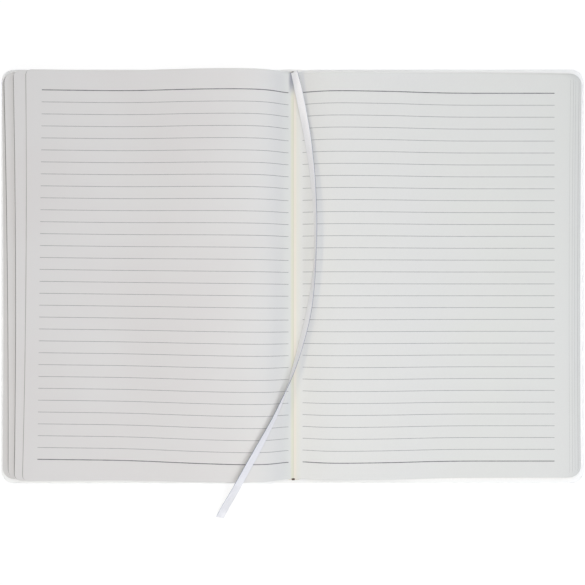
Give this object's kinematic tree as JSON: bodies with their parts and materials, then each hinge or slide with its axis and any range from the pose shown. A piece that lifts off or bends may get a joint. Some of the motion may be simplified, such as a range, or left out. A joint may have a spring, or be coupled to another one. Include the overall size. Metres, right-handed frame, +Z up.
{
  "type": "open composition notebook",
  "caption": "Hard-cover lined notebook lying open near the middle, leaves arched at the gutter, covers hinged at the spine and a ribbon marker across the pages.",
  "frame": {"origin": "middle of the case's footprint, on the surface that the notebook lies on", "axes": "+X across the spread to the right page, +Y along the spine from tail to head, +Z up from the covers to the pages"},
  "size_m": [0.4262, 0.3297, 0.0212],
  "materials": {
    "cover": "matte white covered board",
    "endpaper": "smooth white paper",
    "pages": "uncoated white paper ruled in grey",
    "band": "brown and cream woven band",
    "ribbon": "white satin"
  },
  "bodies": {
    "book": {"spine": "cover", "spine_lining": "endpaper", "text_block": "pages", "head_band": "band", "tail_band": "band", "ribbon_marker": "ribbon"},
    "front": {"front_cover": "cover", "front_pastedown": "endpaper"},
    "back": {"back_cover": "cover", "back_pastedown": "endpaper"}
  },
  "joints": [
    {"name": "front_hinge", "type": "hinge", "parent": "book", "child": "front", "pos_m": [-0.014, 0, 0], "axis": [0, -1, 0], "range_deg": [0, 90]},
    {"name": "back_hinge", "type": "hinge", "parent": "book", "child": "back", "pos_m": [0.014, 0, 0], "axis": [0, 1, 0], "range_deg": [0, 90]}
  ]
}
